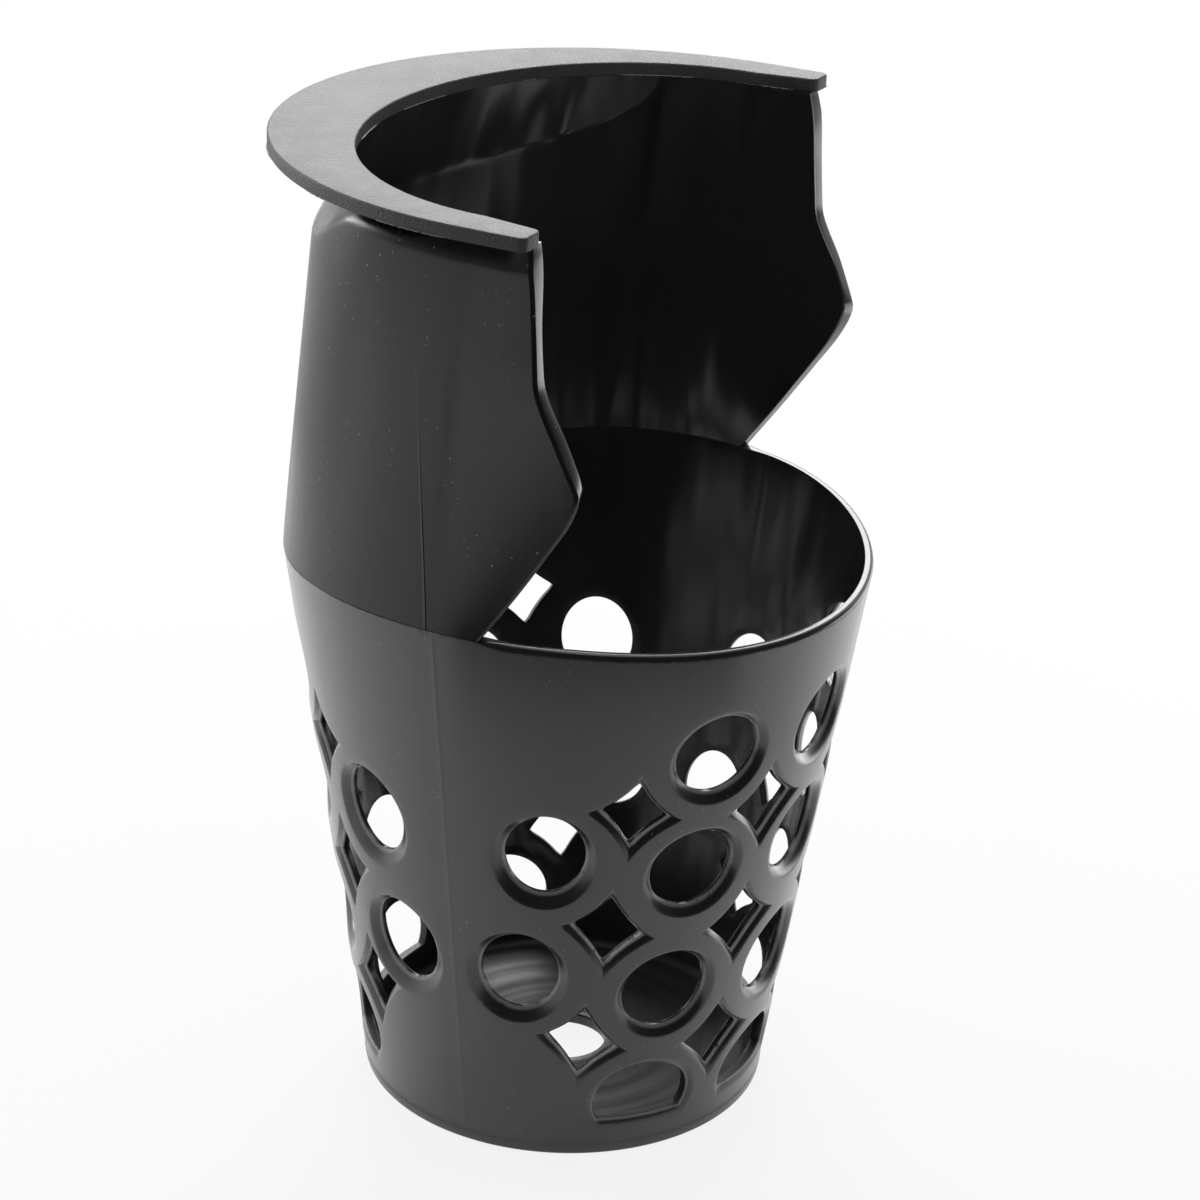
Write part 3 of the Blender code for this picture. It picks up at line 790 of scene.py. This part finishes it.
def makeShell(material):
    # a loop at each level; low down the loops follow the bowed rim and the basket's cone
    waist, footRound = cup["waistHeight"], saddle["footRound"]
    foot = outerPlan(np.full(len(planShares()[0]), waist))
    rim = rimHeight(np.arctan2(foot[:, 0], -foot[:, 1]))
    loops = []
    for level in shellLevels():
        low = np.clip(1 - (level - waist) / saddle["seatFade"], 0, 1) ** 2
        z = level + (rim - waist) * low + saddle["seat"] * low
        fit = 1 + low * (coneRadius(rim) / cup["waistRadius"] - 1)
        into = max(0.0, footRound - (level - waist))
        tuck = footRound - math.sqrt(footRound ** 2 - into ** 2)
        outer = outerPlan(z) * fit[:, None]
        outer = outer - outwards(outer) * tuck
        inner = innerPlan(z) * fit[:, None]
        loops.append(closeLoop(outer, inner, z))
    grid = np.stack(loops)
    count = grid.shape[1]
    lining = np.arange(count) > count // 2 + saddle["cornerPoints"] // 2
    work = Patchwork()
    work.addGrid(grid, wrap=True, lining=np.tile(lining, len(grid)))
    addCaps(work, grid)
    work.piece("saddleShell", material, "root", "saddle_shell", saddle["sharp"])


def closeLoop(outer, inner, z):
    # one level as a closed loop: half the right wing's front edge, the outside, the left front edge,
    # the inside back again and the other half of the right edge; the edge corners are rounded
    count = saddle["cornerPoints"]
    quarter = np.linspace(0, math.pi / 2, count)
    sine, cosine = np.sin(quarter), np.cos(quarter)
    big, small = saddle["edgeRound"], saddle["innerEdgeRound"]

    def edge(end, side):
        out, into = outer[end], inner[end]
        first = np.stack([out[0] - side * big * (1 - cosine), out[1] - big * sine], -1)
        last = np.stack([into[0] + side * small * (1 - sine), into[1] - small * cosine], -1)
        return np.column_stack([np.vstack([first, last]), np.full(2 * count, z[end])])
    right, left = edge(0, 1), edge(-1, -1)
    outside = np.column_stack([outer, z])[1:-1]
    lining = np.column_stack([inner, z])[1:-1]
    return np.vstack([right[:count][::-1], outside, left, lining[::-1], right[count:][::-1]])


def addCaps(work, grid):
    # bottom and top, closed by joining each outside point to the inside point across from it
    count = grid.shape[1]
    j = np.arange(count // 2 - 1)
    strip = np.stack([j, j + 1, count - 2 - j, count - 1 - j], -1)
    work.add(grid[0], strip[:, ::-1])
    work.add(grid[-1], strip)


# flange: a flat crescent with rounded edges
flange = {
    "thick": 0.0020, "halfWidth": 0.0492, "back": 0.0471, "centre": -0.0058, "end": -0.0155,
    "topRound": 0.00030, "lowRound": 0.00012, "cornerRound": 0.0013,
    "arcSteps": 420, "wingSteps": 24, "cornerSteps": 6, "bendSteps": 6, "sharp": 35,
    # seam under the edge: heights of its rows and how pale each is, pale flash that also paints the glints
    # along the edge; the third one is the flash
    "seamHeights": (0.0, 0.00001, 0.00002, 0.00009, 0.00013), "seamFlashAndGlint": (0.0, 0.5, 1.0, 0.6, 0.0),
    # flash: waves along the edge, each with its rate, start and size
    "flashOut": 0.00030, "flashLeast": 0.15, "flashLevel": 0.55, "flashShown": (0.1, 0.7),
    "flashRuns": ((310, 0.6, 1.0), (127, 0.0, 0.7)),
    "flashTears": ((4700, 0.0, 0.25), (7900, 1.3, 0.20)),
}


def crescentSide(halfWidth, back, centre, flare):
    # one side of the crescent: a half ellipse behind and straight wings
    arc = np.linspace(0, math.pi, flange["arcSteps"] + 1)
    rear = np.stack([halfWidth * np.cos(arc), centre + (back - centre) * np.sin(arc)], -1)
    run = np.linspace(centre - flange["end"], 0, flange["wingSteps"] + 1)[:-1]
    wing = np.stack([halfWidth + flare * run, centre - run], -1)
    return np.vstack([wing, rear, (wing * (-1, 1))[::-1]])


def roundCorner(before, corner, after):
    # a corner replaced by a quadratic bend of about the corner radius
    radius = flange["cornerRound"]
    first = corner + (before - corner) / np.linalg.norm(before - corner) * radius
    last = corner + (after - corner) / np.linalg.norm(after - corner) * radius
    s = np.linspace(0, 1, flange["cornerSteps"] + 1)[:, None]
    return first * (1 - s) ** 2 + corner * 2 * s * (1 - s) + last * s ** 2


def flangeLoop():
    # outer side and inner side of the crescent joined at its two ends, with rounded corners
    outer = crescentSide(flange["halfWidth"], flange["back"], flange["centre"], 0.0)
    inner = crescentSide(saddle["mouthHalfWidth"], saddle["mouthBack"],
                         saddle["mouthCentre"], saddle["mouthFlare"])

    def trimmed(side):
        keep = np.linalg.norm(side - side[0], axis=1) > flange["cornerRound"]
        keep &= np.linalg.norm(side - side[-1], axis=1) > flange["cornerRound"]
        return side[keep]
    outerRun, innerRun = trimmed(outer), trimmed(inner)
    rightOut = roundCorner(inner[0], outer[0], outerRun[0])
    leftOut = roundCorner(outerRun[-1], outer[-1], inner[-1])
    leftIn = roundCorner(outer[-1], inner[-1], innerRun[-1])
    rightIn = roundCorner(innerRun[0], inner[0], outer[0])
    return np.vstack([rightOut, outerRun, leftOut, leftIn, innerRun[::-1], rightIn])


def raggedEdge(reach):
    # moulding flash along an edge, 0 to 1: runs of it come and go, each with a torn edge
    def waves(kinds):
        return sum(size * np.sin(rate * reach + start) for rate, start, size in kinds)
    runs = smoothStep(waves(flange["flashRuns"]), *flange["flashShown"])
    return runs * (flange["flashLevel"] + waves(flange["flashTears"]))


def makeFlange(material):
    # the crescent's loop, moved in along its normals by a profile of insets and heights
    loop = flangeLoop()
    ahead, behind = np.roll(loop, -1, axis=0), np.roll(loop, 1, axis=0)
    along = ahead - behind
    along /= np.linalg.norm(along, axis=1)[:, None]
    normal = np.stack([along[:, 1], -along[:, 0]], -1)
    ragged = raggedEdge(np.cumsum(np.linalg.norm(loop - behind, axis=1)))
    low, top = saddle["top"], saddle["top"] + flange["thick"]
    lowRound, topRound = flange["lowRound"], flange["topRound"]
    insets = (lowRound, lowRound / 2, -flange["flashOut"] * ragged, 0.0, 0.0)
    upper = [(topRound * (1 - math.cos(b)), top - topRound * (1 - math.sin(b)))
             for b in np.linspace(0, math.pi / 2, flange["bendSteps"])]
    profile = list(zip(insets, low + np.array(flange["seamHeights"]))) + upper
    count = len(loop)
    grid = np.stack([
        np.column_stack([loop - normal * np.broadcast_to(inset, count)[:, None], np.full(count, z)])
        for inset, z in profile])
    # the seam rows are painted pale: moulding flash and painted glints along the flange's lower edges
    pale = np.repeat(flange["seamFlashAndGlint"] + (0.0,) * len(upper), count)
    work = Patchwork()
    work.addGrid(grid, wrap=True, flash=pale * np.tile(ragged > flange["flashLeast"], len(profile)))
    addCaps(work, grid)
    work.piece("flangePlate", material, "root", "flange_plate", flange["sharp"])


# finishes: colour, roughness, clear gloss outside, depth of the grain, amount of dust
finishes = {
    "basketSatin": ((0.0062, 0.0062, 0.0065), 0.32, True, 0.06, 0.35),
    "shellGloss": ((0.0075, 0.0075, 0.0079), 0.26, False, 0.03, 0.8),
    "flangeMatte": ((0.052, 0.0500, 0.0482), 0.50, False, 0.75, 0.0),
}
plastic = {          # what the three finishes share; sizes are noise scales
    "toneSize": 55, "toneSpread": (0.3, 0.7), "deeper": 0.8, "paler": 1.25, "toneRough": 0.10,
    "grainSize": 2600, "grainDeep": 0.0002,
    "streakSize": 210, "streakSquash": 0.12, "streakRough": 0.10, "streakBump": (0.05, 0.0004),
    # inside: walls painted paler, as painted light for the light seen on them, and smoother, with upright
    # waves, and a floor with turning marks
    "wallFrom": (0.004, 0.012), "liningPaintedLight": 2.6, "liningSmoother": 0.10,
    "waveSize": 170, "waveSquash": 0.06, "waveLining": (0.85, 1.0), "waveDeep": 0.0006,
    "turningSize": 330, "turningSpread": (0.35, 0.65), "turningRough": (0.16, 0.16),
    "turningDeep": 0.00005,
    # the shell's parting line: y at the waist, how it leans back, half width, where it fades upwards
    "partingAt": 0.0009, "partingLean": 0.0445, "partingHalf": 0.00030, "partingRise": 0.0006,
    "partingFade": (0.150, 0.095), "partingPale": 0.10, "partingDeep": 0.00006,
    # dust specks: size of a cell, of the speck in it, chance of a speck, patches of dust
    "dust": (0.30, 0.30, 0.30, 1), "dustCells": 900.0, "dustSpeck": (0.19, 0.06),
    "dustChance": (0.70, 0.76), "dustPatches": 60, "dustShown": (0.40, 0.62), "dustRough": 0.4,
    # pale colour of the flash: partly moulding flash, partly painted highlight and glints along edges
    "flash": (0.36, 0.35, 0.33, 1), "flashSize": 800, "flashShown": (0.16, 0.42),
    "refraction": 1.5, "coatRough": 0.24,
}


def shaded(colour, share):
    # a colour made lighter or darker, with its alpha
    return tuple(c * share for c in colour) + (1,)


def partingLine(sheet, across, upright, lining):
    # 1 on the shell's parting line: a thin upright plane that leans back, faint towards the top
    waist, leanBack = cup["waistHeight"], plastic["partingLean"]
    start = leanBack * waist - axisY - plastic["partingAt"]
    off = sheet.maths("ABSOLUTE", across - upright * leanBack + start)
    line = off.ramp(plastic["partingHalf"], 0.0) * upright.ramp(waist, waist + plastic["partingRise"])
    return line * upright.ramp(*plastic["partingFade"]) * (1 - lining)


def dustSpecks(sheet, spot, lining, amount):
    # a speck in a few cells chosen by their random colour, only on the outside and in patches
    specks, tint = (sheet.node("ShaderNodeTexVoronoi", {"feature": "F1"}, {
        "Vector": spot, "Scale": plastic["dustCells"]}, out=output) for output in ("Distance", "Color"))
    chance = sheet.node("ShaderNodeSeparateXYZ", values={0: tint}, out=0).ramp(*plastic["dustChance"])
    patches = sheet.noise(spot, plastic["dustPatches"]).ramp(*plastic["dustShown"])
    return specks.ramp(*plastic["dustSpeck"]) * chance * patches * (1 - lining) * amount


def mouldedPlastic(name):
    # black plastic with fine grain, upright flow streaks, dust specks and a parting line; inside,
    # upright waves on the wall, turning marks on the floor and walls painted paler as painted light; pale
    # where the flash mark is, as moulding flash and painted highlight
    colour, roughness, coated, grain, dustAmount = finishes[name]
    material, sheet = newMaterial(name)
    spot = sheet.place()
    lining, flash = sheet.mark("lining"), sheet.mark("flash")
    tone = sheet.noise(spot, plastic["toneSize"], 3)
    streak = sheet.noise(sheet.place((1, 1, plastic["streakSquash"])), plastic["streakSize"])
    wave = sheet.noise(sheet.place((1, 1, plastic["waveSquash"])), plastic["waveSize"], 0)
    wave = (wave - 0.5) * lining.ramp(*plastic["waveLining"])
    aside, across, upright = (sheet.node("ShaderNodeSeparateXYZ", values={0: spot}, out=axis)
                              for axis in range(3))
    radius = sheet.maths("SQRT", aside * aside + (across - axisY) * (across - axisY))
    rings = sheet.node("ShaderNodeCombineXYZ", values={0: radius})
    turning = sheet.noise(rings, plastic["turningSize"], 1)
    wall = upright.ramp(*plastic["wallFrom"])
    parting = partingLine(sheet, across, upright, lining)
    fine = sheet.noise(spot, plastic["grainSize"])
    dust = dustSpecks(sheet, spot, lining, dustAmount)
    ragged = flash * sheet.noise(spot, plastic["flashSize"]).ramp(*plastic["flashShown"])

    deep, pale = shaded(colour, plastic["deeper"]), shaded(colour, plastic["paler"])
    base = sheet.mixColour(tone.ramp(*plastic["toneSpread"]), deep, pale)
    # painted light: the inside walls above the floor are made paler, standing in for the light seen on
    # them
    base = sheet.mixColour(lining * wall, base, shaded(colour, plastic["liningPaintedLight"]))
    marked = sheet.maths("MAXIMUM", dust, parting * plastic["partingPale"])
    base = sheet.mixColour(marked, base, plastic["dust"])
    # pale flash: moulding flash and painted highlight along the edges
    base = sheet.mixColour(ragged, base, plastic["flash"])

    varied, least = plastic["turningRough"]
    floorRough = (1 - wall) * (turning.ramp(*plastic["turningSpread"]) * varied + least)
    rough = roughness + (tone - 0.5) * plastic["toneRough"] + (streak - 0.5) * plastic["streakRough"]
    rough = rough + dust * plastic["dustRough"] + lining * (floorRough - wall * plastic["liningSmoother"])

    normal = sheet.bump(fine, grain, plastic["grainDeep"])
    normal = sheet.bump(streak, *plastic["streakBump"], after=normal)
    normal = sheet.bump(wave * wall, 1.0, plastic["waveDeep"], after=normal)
    normal = sheet.bump(turning * (1 - wall) * lining, 1.0, plastic["turningDeep"], after=normal)
    normal = sheet.bump(parting, 1.0, plastic["partingDeep"], after=normal)
    shader = sheet.node("ShaderNodeBsdfPrincipled", values={
        "Base Color": base, "Roughness": rough, "Normal": normal, "IOR": plastic["refraction"],
        "Coat Weight": 1 - lining if coated else 0.0,
        "Coat Roughness": plastic["coatRough"], "Coat IOR": plastic["refraction"]})
    sheet.node("ShaderNodeOutputMaterial", values={"Surface": shader})
    return material


# stage: pale floor, soft boxes behind, above and to both sides, and glowing grey cards that only
# reflections see, which are painted reflections of shade and light
studio = {
    "floorSize": 4.0, "floorSteps": 9, "floorDrop": 0.0002, "floorColour": (0.86, 0.86, 0.86),
    "paperSize": 30, "paperSpread": (0.3, 0.7), "paperDeeper": 0.99,
    "floorWhite": 0.86, "floorFade": (0.14, 0.50),   # this share of plain white, and all of it further out
    "floorMirrored": 0.45, "worldDiffuse": 0.25, "aimHeight": 0.10,
    "boxes": {       # swing left of straight ahead, elevation, distance, width, height, brightness
        "backBox": (0.0, 34.0, 0.85, 0.70, 0.50, 6.0),
        "leftBox": (63.5, 12.0, 0.80, 0.20, 0.48, 8.0),
        "rightBox": (-60.0, -11.0, 0.285, 0.22, 0.09, 1.8),
        "topBox": (0.0, 90.0, 0.90, 0.60, 0.60, 1.0),
    },
    "paintedReflections": {       # from and to, left of straight ahead, radius, low and high edge, grey below and above
        "lowPaintedReflection": (22.0, 78.0, 0.30, 0.0, 0.075, 0.64, 0.64),
        "leftPaintedReflection": (78.0, 138.0, 0.30, 0.0, 0.40, 1.0, 0.22),
        # painted shade: a near-black glowing card close in front, standing in for the shade on the floor
        # in front of the holder
        "frontPaintedShade": (138.0, 240.0, 0.145, 0.0, 0.40, 0.05, 0.05),
        "innerPaintedShade": (240.0, 281.0, 0.24, 0.0, 0.40, 0.06, 0.08),
        "rightPaintedReflection": (281.0, 300.0, 0.30, 0.0, 0.40, 1.0, 0.10),
    },
    "reflectionRows": 21, "reflectionColumns": 31, "reflectionBlend": (0.03, 0.11),    # heights where the grey changes
}
plainWhite = (1, 1, 1, 1)


def seenDirectly(sheet, camera, mirrored):
    # share of plain white for camera rays and for mirror and glass rays, 0 for light that is scattered
    path = sheet.tree.nodes.new("ShaderNodeLightPath")
    eye, glossy, glass = (Wire(sheet, path.outputs["Is " + ray + " Ray"])
                          for ray in ("Camera", "Glossy", "Transmission"))
    return sheet.maths("MINIMUM", eye * camera + (glossy + glass) * mirrored, 1.0)


def makeFloor():
    # a flat grid of paper: lit as a plain surface, and partly plain white to whoever looks at it
    count = studio["floorSteps"]
    spread = np.linspace(-studio["floorSize"], studio["floorSize"], count)
    x, y = np.meshgrid(spread, spread)
    points = np.stack([x, y, np.full_like(x, -studio["floorDrop"])], -1)
    mesh = bpy.data.meshes.new("studioFloor")
    mesh.from_pydata(points.reshape(-1, 3).tolist(), [], gridFaces(count, count).tolist())
    material, sheet = newMaterial("studioPaper")
    paper = sheet.noise(sheet.place(), studio["paperSize"], 3).ramp(*studio["paperSpread"])
    colour = studio["floorColour"]
    tone = sheet.mixColour(paper, shaded(colour, studio["paperDeeper"]), shaded(colour, 1))
    lit = sheet.node("ShaderNodeBsdfDiffuse", values={"Color": tone})
    white = sheet.node("ShaderNodeEmission", values={"Color": plainWhite, "Strength": 1.0})
    away = sheet.node("ShaderNodeVectorMath", {"operation": "LENGTH"}, {0: sheet.place()}, out="Value")
    plain = away.ramp(*studio["floorFade"], studio["floorWhite"], 1.0)
    both = sheet.node("ShaderNodeMixShader", values={
        0: seenDirectly(sheet, plain, studio["floorMirrored"]), 1: lit, 2: white})
    sheet.node("ShaderNodeOutputMaterial", values={"Surface": both})
    mesh.materials.append(material)
    floor = bpy.data.objects.new("studioFloor", mesh)
    bpy.context.scene.collection.objects.link(floor)


def makePaintedReflection(name, start, stop, radius, low, high, greyLow, greyHigh):
    # a painted reflection: a curved card that glows grey and only reflections see, painted shade and light
    # as an arc round the object, standing on the floor
    rows, columns = studio["reflectionRows"], studio["reflectionColumns"]
    arc = straightAhead + np.radians(np.linspace(start, stop, columns))
    rise = np.linspace(low, high, rows)[:, None]
    grid = np.stack(np.broadcast_arrays(radius * np.cos(arc), axisY + radius * np.sin(arc), rise), -1)
    mesh = bpy.data.meshes.new(name)
    mesh.from_pydata(grid.reshape(-1, 3).tolist(), [], gridFaces(rows, columns).tolist())
    level = greyLow + (greyHigh - greyLow) * smoothStep(rise, *studio["reflectionBlend"])
    level = np.repeat(level, columns).astype(np.float32)
    mesh.attributes.new("grey", "FLOAT", "POINT").data.foreach_set("value", level)
    material, sheet = newMaterial(name)
    shade = sheet.mixColour(sheet.mark("grey"), (0, 0, 0, 1), plainWhite)
    # the card glows with its grey: painted shade and light in the reflections
    card = sheet.node("ShaderNodeEmission", values={"Color": shade, "Strength": 1.0})
    sheet.node("ShaderNodeOutputMaterial", values={"Surface": card})
    mesh.materials.append(material)
    paintedCard = bpy.data.objects.new(name, mesh)
    bpy.context.scene.collection.objects.link(paintedCard)
    for ray in ("camera", "diffuse", "shadow", "transmission"):
        setattr(paintedCard, "visible_" + ray, False)


def softBox(name, swing, elevation, distance, wide, tall, bright):
    # a lamp whose face shows that brightness, aimed at the middle of the holder
    middle = Vector((0, axisY, studio["aimHeight"]))
    turn, tip = straightAhead + math.radians(swing), math.radians(elevation)
    level = math.cos(tip)
    place = Vector((math.cos(turn) * level, math.sin(turn) * level, math.sin(tip))) * distance
    lamp = bpy.data.lights.new(name, "AREA")
    lamp.shape = "RECTANGLE"
    lamp.size, lamp.size_y = wide, tall
    lamp.energy = bright * math.pi * wide * tall
    made = bpy.data.objects.new(name, lamp)
    made.location = middle + place
    made.rotation_euler = (-place).to_track_quat("-Z", "Y").to_euler()
    made.visible_camera = False
    bpy.context.scene.collection.objects.link(made)


def makeLight():
    # white to the camera and to reflections, dim for scattered light, and the soft boxes
    world = bpy.data.worlds.new("studio")
    bpy.context.scene.world = world
    world.use_nodes = True
    sheet = Sheet(world.node_tree)
    level = studio["worldDiffuse"]
    strength = seenDirectly(sheet, 1.0, 1.0) * (1 - level) + level
    glow = sheet.node("ShaderNodeBackground", values={"Color": plainWhite, "Strength": strength})
    sheet.node("ShaderNodeOutputWorld", values={"Surface": glow})
    for name, facts in studio["boxes"].items():
        softBox(name, *facts)
    bpy.context.scene.view_settings.view_transform = "Standard"


makeLight()
makeFloor()
# painted reflections: glowing cards of painted shade and light, seen only in reflections
for reflectionName, reflectionFacts in studio["paintedReflections"].items():
    makePaintedReflection(reflectionName, *reflectionFacts)
print("stage and light set")

makeBasket(mouldedPlastic("basketSatin"))
makeShell(mouldedPlastic("shellGloss"))
makeFlange(mouldedPlastic("flangeMatte"))
